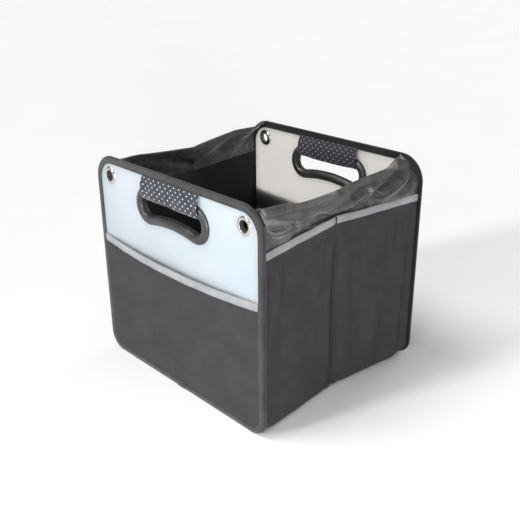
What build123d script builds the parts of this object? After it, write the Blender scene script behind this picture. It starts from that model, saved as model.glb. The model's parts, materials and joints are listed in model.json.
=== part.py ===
from build123d import *

import os
from math import atan, degrees, hypot, radians, sin

# Collapsible storage crate: two stiff end panels joined by cloth side walls and a cloth
# floor. The side walls fold inwards along upright centre folds, the floor folds upwards,
# and the rear panel then lies against the front one.
#
# Frame: +Z up, origin on the ground under the middle of the open crate. The front panel
# faces -Y, the rear panel faces +Y, and the side walls stand at -X and +X. Millimetres.

# Overall size, over the bindings of the two end panels
panel_width = 322.0
panel_height = 290.0
crate_depth = 285.0
corner_radius = 35.0

# End panel: plastic sheet with a folded woven tape round its edge
sheet_thickness = 3.0
tape_thickness = 1.0
tape_width = 12.0

# Handle grip: a bean-shaped ring in two halves that clamp the sheet
grip_height = 243.0
lobe_spacing = 92.0
grip_outer_radius = 24.5
grip_hole_radius = 12.0
grip_tunnel_wall = 2.0
grip_belly_rise = 5.0
grip_bezel_depth = 4.0

# Padded sleeve sewn round the bar above the hand hole
wrap_width = 109.0
wrap_bottom = 251.3
wrap_thickness = 2.2
wrap_fit_gap = 0.2

# Eyelets in the top corners of each panel
eyelet_spacing = 260.0
eyelet_height = 264.0
eyelet_hole_radius = 7.0
eyelet_barrel_radius = 8.2
eyelet_flange_radius = 12.5
eyelet_flange_depth = 1.8
washer_depth = 1.2

# Flat pocket on the outside of each end panel, which gapes at its mouth
pocket_top = 178.0
pocket_bulge = 9.0
pocket_cloth = 1.0
trim_height = 10.0
trim_thickness = 1.6

# Side wall, from its inner face outwards, in two halves that meet at the centre fold
wall_outer_inset = 1.5
lining_thickness = 0.8
board_thickness = 2.0
outer_cloth_thickness = 0.8
wall_pocket_thickness = 1.6
wall_trim_thickness = 2.2
wall_bow = 14.0
wall_top = 278.0
band_bottom = 238.0
wall_trim_top = 241.0
wall_pocket_clearance = 5.0
centre_half_gap = 0.6

# Hinge lines of the side walls, measured from the middle of the crate
hinge_gap = 1.5
fold_axis_offset = 2.0

# Soft lower corner of a side wall: all below a sloping crease, rounded into the floor
crease_rise = 20.0
crease_slope = 1.03
crease_gap = 0.6
gusset_thickness = 2.4
gusset_inset = 0.6
gusset_radius = 32.0
gusset_leg = 6.0
ground_gap = 0.7

# Floor, from its underside upwards, in two halves
base_cloth_thickness = 0.8
floor_board_thickness = 2.4
floor_lining_thickness = 0.6
floor_hinge_inset = 4.0
floor_half_length = 126.0
floor_side_gap = 0.5
fold_strip_gap = 0.4

# Values worked out from the dimensions above
panel_depth = sheet_thickness + 2 * tape_thickness
hinge_y = crate_depth / 2 - panel_depth - hinge_gap
wall_thickness = lining_thickness + board_thickness + outer_cloth_thickness + wall_pocket_thickness
wall_inner_x = panel_width / 2 - wall_outer_inset - wall_thickness
wall_outer_x = wall_inner_x + wall_thickness
floor_hinge_y = hinge_y - floor_hinge_inset
floor_thickness = base_cloth_thickness + floor_board_thickness + floor_lining_thickness
floor_top = ground_gap + floor_thickness
gusset_arc_x = wall_outer_x - gusset_inset - gusset_radius
fold_axis_x = wall_outer_x - wall_bow + fold_axis_offset

os.makedirs("parts", exist_ok=True)


def save(piece, name):
    """Labels a finished piece and writes it as a STEP file of the same name."""
    piece.part.label = name
    export_step(piece.part, f"parts/{name}.step")


def panel_plane(end, outwards=0.0):
    """Upright plane of an end panel, facing out of the crate, with its origin on the ground.

    It lies on the binding's outer face, moved out of the crate by `outwards`.
    """
    side = -1 if end == "front" else 1
    return Plane(
        origin=(0, side * (crate_depth / 2 + outwards), 0),
        x_dir=(-side, 0, 0),
        z_dir=(0, side, 0),
    )


def panel_face(inset):
    """The panel's rounded outline, made smaller by `inset` all round."""
    with Locations((0, panel_height / 2)):
        RectangleRounded(
            panel_width - 2 * inset, panel_height - 2 * inset, corner_radius - inset
        )


def grip_face(lobe_radius, mode=Mode.ADD):
    """Bean outline: a round lobe at each end, straight on top, with a raised belly below."""
    half = lobe_spacing / 2
    drop = lobe_radius - grip_belly_rise
    belly_radius = (half**2 + drop**2 - lobe_radius**2) / (2 * grip_belly_rise)
    belly_z = grip_height - drop - belly_radius
    reach = belly_radius / hypot(half, grip_height - belly_z)
    touch_x = half * reach
    touch_z = belly_z + (grip_height - belly_z) * reach
    top = grip_height + lobe_radius
    with BuildLine() as outline:
        Line((-half, top), (half, top))
        ThreePointArc((half, top), (half + lobe_radius, grip_height), (touch_x, touch_z))
        ThreePointArc(
            (touch_x, touch_z), (0, belly_z + belly_radius), (-touch_x, touch_z)
        )
        ThreePointArc((-touch_x, touch_z), (-half - lobe_radius, grip_height), (-half, top))
    make_face(outline.edges(), mode=mode)


def eyelet_places():
    """The two eyelet centres of a panel, in the panel's plane."""
    return Locations((-eyelet_spacing / 2, eyelet_height), (eyelet_spacing / 2, eyelet_height))


def make_sheet(end):
    """Translucent plastic sheet with the hand hole and the eyelet holes cut through."""
    with BuildPart() as sheet:
        with BuildSketch(panel_plane(end, -tape_thickness)):
            panel_face(tape_thickness)
            grip_face(grip_hole_radius + grip_tunnel_wall, mode=Mode.SUBTRACT)
            with eyelet_places():
                Circle(eyelet_barrel_radius, mode=Mode.SUBTRACT)
        extrude(amount=-sheet_thickness)
    save(sheet, f"{end}_sheet")


def make_binding(end):
    """Woven tape folded over the sheet's edge, so that it grips both faces."""
    with BuildPart() as binding:
        with BuildSketch(panel_plane(end)):
            panel_face(0)
        extrude(amount=-panel_depth)
        with BuildSketch(panel_plane(end)):
            panel_face(tape_width)
        extrude(amount=-panel_depth, mode=Mode.SUBTRACT)
        with BuildSketch(panel_plane(end, -tape_thickness)):
            panel_face(tape_thickness)
        extrude(amount=-sheet_thickness, mode=Mode.SUBTRACT)
    save(binding, f"{end}_binding")


def make_grip(end):
    """The outer half has a bezel and the tunnel; the inner half is a bezel that meets it."""
    with BuildPart() as grip_outer:
        with BuildSketch(panel_plane(end, -tape_thickness)):
            grip_face(grip_outer_radius)
            grip_face(grip_hole_radius, mode=Mode.SUBTRACT)
        extrude(amount=grip_bezel_depth)
        face = grip_outer.faces().sort_by(Axis.Y)[0 if end == "front" else -1]
        fillet(face.edges(), radius=grip_bezel_depth - 1)
        with BuildSketch(panel_plane(end, -tape_thickness)):
            grip_face(grip_hole_radius + grip_tunnel_wall)
            grip_face(grip_hole_radius, mode=Mode.SUBTRACT)
        extrude(amount=-sheet_thickness)
    save(grip_outer, f"{end}_grip_outer")

    with BuildPart() as grip_inner:
        with BuildSketch(panel_plane(end, -tape_thickness - sheet_thickness)):
            grip_face(grip_outer_radius)
            grip_face(grip_hole_radius, mode=Mode.SUBTRACT)
        extrude(amount=-grip_bezel_depth)
        face = grip_inner.faces().sort_by(Axis.Y)[-1 if end == "front" else 0]
        fillet(face.edges(), radius=grip_bezel_depth - 1)
    save(grip_inner, f"{end}_grip_inner")


def make_wrap(end):
    """Padded sleeve, a U round the grip's top bar with its ends under the binding."""
    side = -1 if end == "front" else 1
    middle_y = side * (crate_depth / 2 - panel_depth / 2)
    inner_half = sheet_thickness / 2 + grip_bezel_depth + wrap_fit_gap
    outer_half = inner_half + wrap_thickness
    bar_bottom = grip_height + grip_hole_radius - wrap_fit_gap
    wrap_top = panel_height - tape_width
    leg_middle = (wrap_bottom + wrap_top) / 2
    with BuildPart() as wrap:
        with BuildSketch(Plane.YZ):
            with Locations((middle_y, leg_middle)):
                Rectangle(2 * outer_half, wrap_top - wrap_bottom)
                Rectangle(2 * inner_half, wrap_top - wrap_bottom, mode=Mode.SUBTRACT)
        extrude(amount=wrap_width / 2, both=True)
        rims = wrap.edges().filter_by(Axis.Z)
        fillet(rims, radius=wrap_thickness / 3)
        with BuildSketch(Plane.YZ):
            with Locations((middle_y, (wrap_bottom + bar_bottom) / 2)):
                Rectangle(2 * inner_half + wrap_thickness, bar_bottom - wrap_bottom)
        extrude(amount=lobe_spacing / 2, both=True)
    save(wrap, f"{end}_wrap")


def make_eyelets(end):
    """Two metal eyelets with flanged barrels, and the washers that they are rolled over."""
    with BuildPart() as eyelets:
        with BuildSketch(panel_plane(end, -tape_thickness)):
            with eyelet_places():
                Circle(eyelet_flange_radius)
                Circle(eyelet_hole_radius, mode=Mode.SUBTRACT)
        extrude(amount=eyelet_flange_depth)
        face = eyelets.faces().sort_by(Axis.Y)[0 if end == "front" else -1]
        rims = eyelets.edges().filter_by(GeomType.CIRCLE).filter_by(
            lambda edge: abs(edge.center().Y - face.center().Y) < 0.01
            and edge.radius > eyelet_barrel_radius
        )
        fillet(rims, radius=eyelet_flange_depth - 0.4)
        with BuildSketch(panel_plane(end, -tape_thickness)):
            with eyelet_places():
                Circle(eyelet_barrel_radius)
                Circle(eyelet_hole_radius, mode=Mode.SUBTRACT)
        extrude(amount=-(sheet_thickness + washer_depth))
    save(eyelets, f"{end}_eyelets")

    with BuildPart() as washers:
        with BuildSketch(panel_plane(end, -tape_thickness - sheet_thickness)):
            with eyelet_places():
                Circle(eyelet_flange_radius)
                Circle(eyelet_barrel_radius, mode=Mode.SUBTRACT)
        extrude(amount=-washer_depth)
    save(washers, f"{end}_eyelet_washers")


def bowed_band(end, height, bulge, thickness):
    """Plan section of pocket cloth at one height, standing off the sheet by `bulge`."""
    side = -1 if end == "front" else 1
    half = panel_width / 2 - tape_width
    near = crate_depth / 2 - tape_thickness
    with BuildSketch(Plane.XY.offset(height)) as band:
        with BuildLine():
            ThreePointArc(
                (-half, side * (near + thickness)),
                (0, side * (near + thickness + bulge)),
                (half, side * (near + thickness)),
            )
            Line((half, side * (near + thickness)), (half, side * near))
            ThreePointArc((half, side * near), (0, side * (near + bulge)), (-half, side * near))
            Line((-half, side * near), (-half, side * (near + thickness)))
        make_face()
    return band.sketch


def make_pocket(end):
    """Cloth pocket, sewn in under the binding at its sides and bottom, and its edge tape."""
    trim_bottom = pocket_top - trim_height
    foot = bowed_band(end, tape_width, pocket_bulge / 20, pocket_cloth)
    mouth = bowed_band(end, trim_bottom, pocket_bulge, pocket_cloth)
    with BuildPart() as pocket:
        loft([foot, mouth], ruled=True)
        with BuildSketch(panel_plane(end)):
            panel_face(tape_width)
        extrude(amount=crate_depth / 2, both=True, mode=Mode.INTERSECT)
    save(pocket, f"{end}_pocket")

    tape = bowed_band(end, trim_bottom, pocket_bulge, trim_thickness)
    with BuildPart() as trim:
        extrude(tape, amount=trim_height)
    save(trim, f"{end}_pocket_trim")


def wall_x(outwards, y):
    """Distance from the middle plane of a point that lies `outwards` of the wall's inner face."""
    return wall_inner_x + outwards - wall_bow * (hinge_y - y) / hinge_y


def crease_z(y):
    """Height of the sloping crease, above which the side wall stays flat."""
    return crease_rise + crease_slope * (hinge_y - y)


def wall_layer(side, end, depth, thickness, bottom, top, stop=centre_half_gap):
    """One upright layer of a side wall half, trimmed to the area above the crease.

    `depth` is how far its inner face lies outside the wall's own inner face.
    """
    sx = 1 if side == "right" else -1
    sy = 1 if end == "rear" else -1
    start = hinge_y - hinge_gap / 5
    plan = [(start, depth), (stop, depth), (stop, depth + thickness), (start, depth + thickness)]
    with BuildPart() as layer:
        with BuildSketch(Plane.XY):
            with BuildLine():
                Polyline([(sx * wall_x(d, y), sy * y) for y, d in plan], close=True)
            make_face()
        extrude(amount=top)
        with BuildSketch(Plane.YZ):
            with BuildLine():
                Polyline(
                    (sy * start, max(bottom, crease_z(start))),
                    (sy * stop, max(bottom, crease_z(stop))),
                    (sy * stop, top),
                    (sy * start, top),
                    close=True,
                )
            make_face()
        extrude(amount=panel_width, both=True, mode=Mode.INTERSECT)
    return layer


def make_wall_half(side, end):
    """Lining, stiffening board, outer cloth, top band, pocket and trim of one wall half."""
    name = f"{side}_{end}"
    board_depth = lining_thickness
    outer_depth = board_depth + board_thickness
    pocket_depth = outer_depth + outer_cloth_thickness
    pocket_stop = centre_half_gap + wall_pocket_clearance
    trim_bottom = wall_trim_top - trim_height

    save(wall_layer(side, end, 0, lining_thickness, 0, band_bottom), f"{name}_lining")
    save(wall_layer(side, end, board_depth, board_thickness, 0, band_bottom), f"{name}_board")
    save(
        wall_layer(side, end, outer_depth, outer_cloth_thickness, 0, band_bottom),
        f"{name}_outer_cloth",
    )
    save(wall_layer(side, end, 0, pocket_depth, band_bottom, wall_top), f"{name}_top_band")
    save(
        wall_layer(side, end, pocket_depth, wall_pocket_thickness, 0, trim_bottom),
        f"{name}_wall_pocket",
    )
    save(
        wall_layer(
            side, end, pocket_depth, wall_trim_thickness, trim_bottom, wall_trim_top, pocket_stop
        ),
        f"{name}_wall_trim",
    )


def make_gusset(side, end):
    """Soft lower corner of a side wall, which rounds into the floor and has no board."""
    sx = 1 if side == "right" else -1
    sy = 1 if end == "rear" else -1
    start = hinge_y - hinge_gap / 5
    stop = centre_half_gap
    shift = wall_bow * (hinge_y - start) / hinge_y
    arc_x = gusset_arc_x - shift
    arc_z = ground_gap + gusset_radius
    inner_radius = gusset_radius - gusset_thickness
    outer_x = arc_x + gusset_radius
    inner_x = arc_x + inner_radius
    leg_x = arc_x - gusset_leg
    top = crease_z(stop)
    diagonal = radians(45)
    with BuildPart() as gusset:
        with BuildSketch(Plane(origin=(0, sy * start, 0), x_dir=(1, 0, 0), z_dir=(0, -1, 0))):
            with BuildLine():
                Line((sx * inner_x, top), (sx * outer_x, top))
                Line((sx * outer_x, top), (sx * outer_x, arc_z))
                ThreePointArc(
                    (sx * outer_x, arc_z),
                    (
                        sx * (arc_x + gusset_radius * sin(diagonal)),
                        arc_z - gusset_radius * sin(diagonal),
                    ),
                    (sx * arc_x, ground_gap),
                )
                Line((sx * arc_x, ground_gap), (sx * leg_x, ground_gap))
                Line((sx * leg_x, ground_gap), (sx * leg_x, ground_gap + gusset_thickness))
                Line(
                    (sx * leg_x, ground_gap + gusset_thickness),
                    (sx * arc_x, ground_gap + gusset_thickness),
                )
                ThreePointArc(
                    (sx * arc_x, ground_gap + gusset_thickness),
                    (
                        sx * (arc_x + inner_radius * sin(diagonal)),
                        arc_z - inner_radius * sin(diagonal),
                    ),
                    (sx * inner_x, arc_z),
                )
                Line((sx * inner_x, arc_z), (sx * inner_x, top))
            make_face()
        length = start - stop
        sideways = wall_bow * length / hinge_y
        extrude(amount=hypot(length, sideways), dir=(-sx * sideways, -sy * length, 0))
        with BuildSketch(Plane.YZ):
            with BuildLine():
                Polyline(
                    (sy * start, 0),
                    (sy * stop, 0),
                    (sy * stop, crease_z(stop) - crease_gap),
                    (sy * start, crease_z(start) - crease_gap),
                    close=True,
                )
            make_face()
        extrude(amount=panel_width, both=True, mode=Mode.INTERSECT)
    save(gusset, f"{side}_{end}_gusset")


def floor_half_width(y):
    """Half the floor's width at a distance y from the middle, between the gusset legs."""
    return gusset_arc_x - gusset_leg - floor_side_gap - wall_bow * (hinge_y - y) / hinge_y


def floor_layer(end, bottom, thickness):
    """One flat layer of a floor half, a little narrower at the crate's centre fold."""
    sy = 1 if end == "rear" else -1
    near = floor_hinge_y - floor_half_length
    with BuildPart() as layer:
        with BuildSketch(Plane.XY.offset(bottom)):
            with BuildLine():
                Polyline(
                    (-floor_half_width(floor_hinge_y), sy * floor_hinge_y),
                    (floor_half_width(floor_hinge_y), sy * floor_hinge_y),
                    (floor_half_width(near), sy * near),
                    (-floor_half_width(near), sy * near),
                    close=True,
                )
            make_face()
        extrude(amount=thickness)
    return layer


def make_floor_half(end):
    """Base cloth, stiff board and lining of one floor half."""
    board_bottom = ground_gap + base_cloth_thickness
    lining_bottom = board_bottom + floor_board_thickness
    save(floor_layer(end, ground_gap, base_cloth_thickness), f"floor_{end}_base_cloth")
    save(floor_layer(end, board_bottom, floor_board_thickness), f"floor_{end}_board")
    save(floor_layer(end, lining_bottom, floor_lining_thickness), f"floor_{end}_lining")


def make_floor_fold_strip():
    """Soft strip of base cloth between the two floor boards, the floor's own hinge."""
    half_length = floor_hinge_y - floor_half_length - fold_strip_gap
    with BuildPart() as strip:
        with BuildSketch(Plane.XY.offset(ground_gap)):
            Rectangle(2 * floor_half_width(0), 2 * half_length)
        extrude(amount=base_cloth_thickness)
    save(strip, "floor_fold_strip")


for panel_end in ("front", "rear"):
    make_sheet(panel_end)
    make_binding(panel_end)
    make_grip(panel_end)
    make_wrap(panel_end)
    make_eyelets(panel_end)
    make_pocket(panel_end)
    make_floor_half(panel_end)
    for wall_side in ("left", "right"):
        make_wall_half(wall_side, panel_end)
        make_gusset(wall_side, panel_end)
make_floor_fold_strip()

link_angle = degrees(atan((wall_inner_x - fold_axis_x) / hinge_y))
print(f"wall hinge at x {wall_inner_x:.2f}, y {hinge_y:.2f}; centre fold at x {fold_axis_x:.2f}")
print(f"link angle when open {link_angle:.2f} degrees")
print(f"floor hinge at y {floor_hinge_y:.2f}, z {floor_top:.2f}")
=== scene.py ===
import json
from math import ceil, cos, pi, radians, sin, sqrt

import bmesh
import bpy
import numpy as np
from mathutils import Matrix, Vector


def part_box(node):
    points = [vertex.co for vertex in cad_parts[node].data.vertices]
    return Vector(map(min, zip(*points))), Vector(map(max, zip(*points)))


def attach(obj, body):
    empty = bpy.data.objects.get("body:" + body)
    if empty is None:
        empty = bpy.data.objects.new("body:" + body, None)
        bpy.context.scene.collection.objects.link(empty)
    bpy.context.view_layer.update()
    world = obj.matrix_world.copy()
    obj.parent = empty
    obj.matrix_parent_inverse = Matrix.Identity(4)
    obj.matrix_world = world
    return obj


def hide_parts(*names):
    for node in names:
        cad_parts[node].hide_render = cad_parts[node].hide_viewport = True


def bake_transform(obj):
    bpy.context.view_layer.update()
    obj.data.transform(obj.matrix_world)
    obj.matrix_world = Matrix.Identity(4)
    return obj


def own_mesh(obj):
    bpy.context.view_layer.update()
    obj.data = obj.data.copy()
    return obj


# Looks of the collapsible storage crate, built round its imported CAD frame. Metres, +Z up, the
# front panel faces -Y and the rear panel +Y. Fixed sizes are in metres unless a comment says
# millimetres, and everything else is worked out from the CAD nodes' boxes.
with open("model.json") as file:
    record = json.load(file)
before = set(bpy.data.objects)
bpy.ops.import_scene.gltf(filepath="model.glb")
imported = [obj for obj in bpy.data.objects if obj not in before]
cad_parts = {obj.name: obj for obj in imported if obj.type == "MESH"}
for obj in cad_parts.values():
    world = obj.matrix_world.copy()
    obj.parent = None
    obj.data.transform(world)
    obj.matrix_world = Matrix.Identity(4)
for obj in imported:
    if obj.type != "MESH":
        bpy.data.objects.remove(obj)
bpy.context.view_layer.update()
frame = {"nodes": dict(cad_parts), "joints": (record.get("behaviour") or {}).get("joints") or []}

MM = 0.001
ENDS = {"front": -1, "rear": 1}
SIDES = {"left": -1, "right": 1}

# Sizes read from the frame
binding_low, binding_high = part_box("front_binding")
half_width = binding_high.x
height = binding_high.z
panel_out = -binding_low.y
panel_depth = binding_high.y - binding_low.y
sheet_out = -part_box("front_sheet")[0].y - panel_out
sheet_in = -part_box("front_sheet")[1].y - panel_out
trim_low, trim_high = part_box("front_pocket_trim")
wrap_low, wrap_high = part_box("front_wrap")
wall_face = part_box("right_front_wall_pocket")[1].x - 2.6 * MM
wall_trim_low, wall_trim_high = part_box("right_front_wall_trim")
wall_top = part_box("right_front_top_band")[1].z
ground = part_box("floor_front_base_cloth")[0].z
floor_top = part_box("floor_front_lining")[1].z
strip_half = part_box("floor_fold_strip")[1]
fold = next(j for j in frame["joints"] if j["name"] == "crate_fold")
hinge_x, hinge_y = fold["pos_m"][0], -fold["pos_m"][1]

# Panel and binding
corner_radius, low_radius = 35 * MM, 24 * MM
binding_width = 9.6 * MM
tape = 1 * MM
stitch_pitch = 3.4 * MM
stitch_radius = 0.24 * MM

# Grip ring and eyelets
grip_height = 243 * MM
lobe_half = 46 * MM
grip_radii = (12 * MM, 24.5 * MM)
belly_rise = 5 * MM
bezel = 4.2 * MM
eyelet_x, eyelet_z = 130 * MM, 264 * MM
eyelet_radii = (6.7 * MM, 11.4 * MM)

# End pockets
pocket_half = half_width - binding_width
pocket_mouth = trim_high.z
trim_bulge = -trim_low.y - panel_out - sheet_out - 2 * tape
mouth_drop = 4.2 * MM
pocket_thick = 0.8 * MM

# Side walls: bow towards the middle, rounded foot and sloping crease
wall_start = hinge_y + 1.4 * MM
bow_low, bow_high = 17 * MM, 18 * MM
foot_radius, foot_tight, foot_centre = 22 * MM, 13 * MM, 9 * MM
foot_leg = 14 * MM
crease_low, crease_slope = 20 * MM, 1.03
wall_depth = 4.8 * MM
board_depths = (2.6 * MM, 3.8 * MM)
lining_cloth, pocket_cloth, nylon_cloth = 0.7 * MM, 1.1 * MM, 0.45 * MM
band_foot = 232 * MM
band_hem = 9 * MM
seam_height = 240 * MM
fold_flap = 26 * MM
trim_gap = 1.8 * MM
trim_drop = {"front": -3.0 * MM, "rear": 0.8 * MM}
cloth_step = 2.2 * MM
corner_hinge = hinge_y - 4 * MM
tab_overlap = 5.2 * MM


# ---- Mesh helpers ----

class Build:
    """Collects grids of points into one mesh, with a cloth UV in metres."""

    def __init__(self):
        self.points, self.faces, self.uvs, self.slots = [], [], [], []

    def add(self, points, faces, uvs, slots):
        base = len(self.points)
        self.points.extend(map(tuple, points))
        self.faces.extend([[base + int(i) for i in face] for face in faces])
        self.uvs.extend(map(tuple, uvs))
        self.slots.extend(slots)

    def grid(self, points, uv, around=False, along=False, slot=0, caps=False):
        """Quads over rows and columns of points. `around` joins the last column to the first,
        `along` the last row to the first. `uv` has one more column or row where they join."""
        rows, cols = points.shape[:2]
        index = np.arange(rows * cols).reshape(rows, cols)
        if around:
            index = np.hstack([index, index[:, :1]])
        if along:
            index = np.vstack([index, index[:1]])
        faces, uvs = [], []
        for r, c in np.ndindex(index.shape[0] - 1, index.shape[1] - 1):
            spots = ((r, c), (r, c + 1), (r + 1, c + 1), (r + 1, c))
            faces.append([index[s] for s in spots])
            uvs.extend(uv[s] for s in spots)
        if caps:
            for row in (0, rows - 1):
                faces.append(index[row, :cols])
                uvs.extend(uv[row, :cols])
        self.add(points.reshape(-1, 3), faces, uvs, [slot] * len(faces))

    def shell(self, outer, inner, uv, slots=(0, 0)):
        """A closed cloth: two grids of the same shape, joined round their rims."""
        rows, cols = outer.shape[:2]
        count = rows * cols
        index = np.arange(count).reshape(rows, cols)
        rim = [*index[0, :], *index[1:, -1], *index[-1, -2::-1], *index[-2:0:-1, 0]]
        faces, corners, face_slots = [], [], []
        for r, c in np.ndindex(rows - 1, cols - 1):
            quad = [index[r, c], index[r, c + 1], index[r + 1, c + 1], index[r + 1, c]]
            faces += [quad, [i + count for i in reversed(quad)]]
            corners += quad + quad[::-1]
            face_slots += slots
        for a, b in zip(rim, rim[1:] + rim[:1]):
            faces.append([b, a, a + count, b + count])
            corners += [b, a, a, b]
            face_slots.append(slots[0])
        points = np.vstack([outer.reshape(-1, 3), inner.reshape(-1, 3)])
        self.add(points, faces, uv.reshape(-1, 2)[corners], face_slots)

    def finish(self, name, materials, sharp=50):
        mesh = bpy.data.meshes.new(name)
        mesh.from_pydata(self.points, [], self.faces)
        for material in materials:
            mesh.materials.append(material)
        mesh.polygons.foreach_set("material_index", self.slots)
        layer = mesh.uv_layers.new(name="Cloth")
        layer.data.foreach_set("uv", np.array(self.uvs, np.float32).ravel())
        work = bmesh.new()
        work.from_mesh(mesh)
        bmesh.ops.recalc_face_normals(work, faces=work.faces)
        work.to_mesh(mesh)
        work.free()
        mesh.polygons.foreach_set("use_smooth", [True] * len(mesh.polygons))
        mesh.set_sharp_from_angle(angle=radians(sharp))
        return add_object(name, mesh)


def add_object(name, data):
    thing = bpy.data.objects.new(name, data)
    bpy.context.scene.collection.objects.link(thing)
    return thing


def sample(segments, step):
    """Even points, outward directions and distances along a closed run of lines and arcs.

    A line is ("line", start, end, outward); an arc is ("arc", centre, radius, from, to, sign),
    with its angles in degrees and sign -1 where outwards is towards its centre.
    """
    points, normals, distances, total = [], [], [], 0.0
    for kind, *data in segments:
        if kind == "line":
            start, end, outward = (np.array(d, float) for d in data)
            length = float(np.linalg.norm(end - start))
            count = max(2, ceil(length / step))
            share = np.arange(count) / count
            points.extend(start + (end - start) * s for s in share)
            normals.extend([outward] * count)
        else:
            centre, radius, first, last, sign = data
            length = radius * abs(radians(last - first))
            count = max(6, ceil(length / step))
            share = np.arange(count) / count
            turn = np.radians(first + (last - first) * share)
            ray = np.stack([np.cos(turn), np.sin(turn)], 1)
            points.extend(np.array(centre) + ray * radius)
            normals.extend(ray * sign)
        distances.extend(total + share * length)
        total += length
    return np.array(points), np.array(normals), np.array(distances + [total])


def panel_outline(step):
    """The panel's rounded outline, anticlockwise from the middle of its bottom edge."""
    w, h, r, low = half_width, height, corner_radius, low_radius
    return sample([
        ("line", (0, 0), (w - low, 0), (0, -1)),
        ("arc", (w - low, low), low, -90, 0, 1),
        ("line", (w, low), (w, h - r), (1, 0)),
        ("arc", (w - r, h - r), r, 0, 90, 1),
        ("line", (w - r, h), (-w + r, h), (0, 1)),
        ("arc", (-w + r, h - r), r, 90, 180, 1),
        ("line", (-w, h - r), (-w, low), (-1, 0)),
        ("arc", (-w + low, low), low, 180, 270, 1),
        ("line", (-w + low, 0), (0, 0), (0, -1)),
    ], step)


def grip_outline(radius, step):
    """The bean outline: straight on top, a round lobe at each end, a raised belly below."""
    drop = radius - belly_rise
    belly = (lobe_half**2 + drop**2 - radius**2) / (2 * belly_rise)
    belly_z = grip_height - drop - belly
    lean = np.degrees(np.arctan2(grip_height - belly_z, lobe_half))
    top = grip_height + radius
    return sample([
        ("arc", (0, belly_z), belly, 180 - lean, lean, -1),
        ("arc", (lobe_half, grip_height), radius, lean - 180, 90, 1),
        ("line", (lobe_half, top), (-lobe_half, top), (0, 1)),
        ("arc", (-lobe_half, grip_height), radius, 90, 360 - lean, 1),
    ], step)


def on_panel(end, across, out, up):
    """Points of an end panel: `out` is measured outwards from its outer plane."""
    across, out, up = np.broadcast_arrays(across, out, up)
    return np.stack([across, ENDS[end] * (panel_out + out), up], -1)


def waves(a, b, seed, lengths, count=7, lean=0.35):
    """Smooth seeded ripples in -1..1 that run across `a`, with crests nearly along `b`. Their
    shortest and longest lengths are in millimetres."""
    rng = np.random.default_rng(seed)
    total = np.zeros(np.broadcast(a, b).shape)
    for _ in range(count):
        number = 2 * pi / (rng.uniform(*lengths) * MM)
        total += np.sin(number * (a + b * rng.normal(0, lean)) + rng.uniform(0, 2 * pi))
    return total / sqrt(count) / 1.4


def smooth(x):
    """Smoothstep of x between 0 and 1."""
    x = np.clip(x, 0, 1)
    return x * x * (3 - 2 * x)


def eased(x, width):
    """Smoothstep of x from 0 to a width in millimetres."""
    return smooth(x / (width * MM))


def hump(x, width):
    """Rounded hump of height 1 at x = 0, with its width in millimetres."""
    return np.exp(-((x / (width * MM)) ** 2))


def rows_between(low, high, rows):
    return low + (high - low) * np.linspace(0, 1, rows)[:, None]


def run_length(points):
    """Distance along a line of points, at each of them."""
    steps = np.linalg.norm(np.diff(points, axis=0), axis=1)
    return np.concatenate([[0], np.cumsum(steps)])


def flat_uv(u, v):
    return np.stack(np.meshgrid(u, v), -1)


def grid_uv(points):
    """Cloth UV in metres from the mean spacing of the grid's rows and columns."""
    across = np.linalg.norm(np.diff(points, axis=1), axis=2).mean(0)
    down = np.linalg.norm(np.diff(points, axis=0), axis=2).mean(1)
    return flat_uv(np.concatenate([[0], np.cumsum(across)]), np.concatenate([[0], np.cumsum(down)]))


def add_stitches(build, path, facing, pitch=stitch_pitch):
    """A row of short stitches, in slot 1, along a path on a surface whose normal is `facing`."""
    distance = run_length(path)
    rings = np.array([-0.5, -0.32, 0.0, 0.32, 0.5])
    girth = np.array([0.25, 0.85, 1.0, 0.85, 0.25]) * stitch_radius
    lift = np.array([-0.5, 0.5, 0.9, 0.5, -0.5]) * stitch_radius
    turn = np.arange(6) * pi / 3

    def at(place):
        return np.array([np.interp(place, distance, path[:, axis]) for axis in range(3)])

    for centre in np.arange(pitch / 2, distance[-1], pitch):
        run = at(centre + pitch / 4) - at(centre - pitch / 4)
        run = run / np.linalg.norm(run)
        middle = at(centre) + np.outer(rings * pitch * 0.74, run) + np.outer(lift, facing)
        ring = np.outer(np.cos(turn), np.cross(run, facing)) + np.outer(np.sin(turn), facing)
        points = middle[:, None] + girth[:, None, None] * ring
        build.grid(points, np.zeros((len(rings), 7, 2)), around=True, slot=1, caps=True)


def lathe(build, end, centre, profile, slot, count=48):
    """Turns a closed (radius, out) profile in millimetres about an axis square to an end panel."""
    turn = np.arange(count)[:, None] * 2 * pi / count
    radius, out = np.array(profile).T * MM
    points = on_panel(end, centre[0] + np.cos(turn) * radius, out, centre[1] + np.sin(turn) * radius)
    uv = flat_uv(np.arange(len(profile) + 1) * MM, np.linspace(0, 2 * pi * radius.mean(), count + 1))
    build.grid(points, uv, around=True, along=True, slot=slot)


def stand_in(piece, end, node):
    """Puts a piece on its end panel, in place of one of the panel's CAD nodes."""
    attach(piece, f"{end}_panel")
    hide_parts(f"{end}_{node}")


# ---- Materials ----

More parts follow.
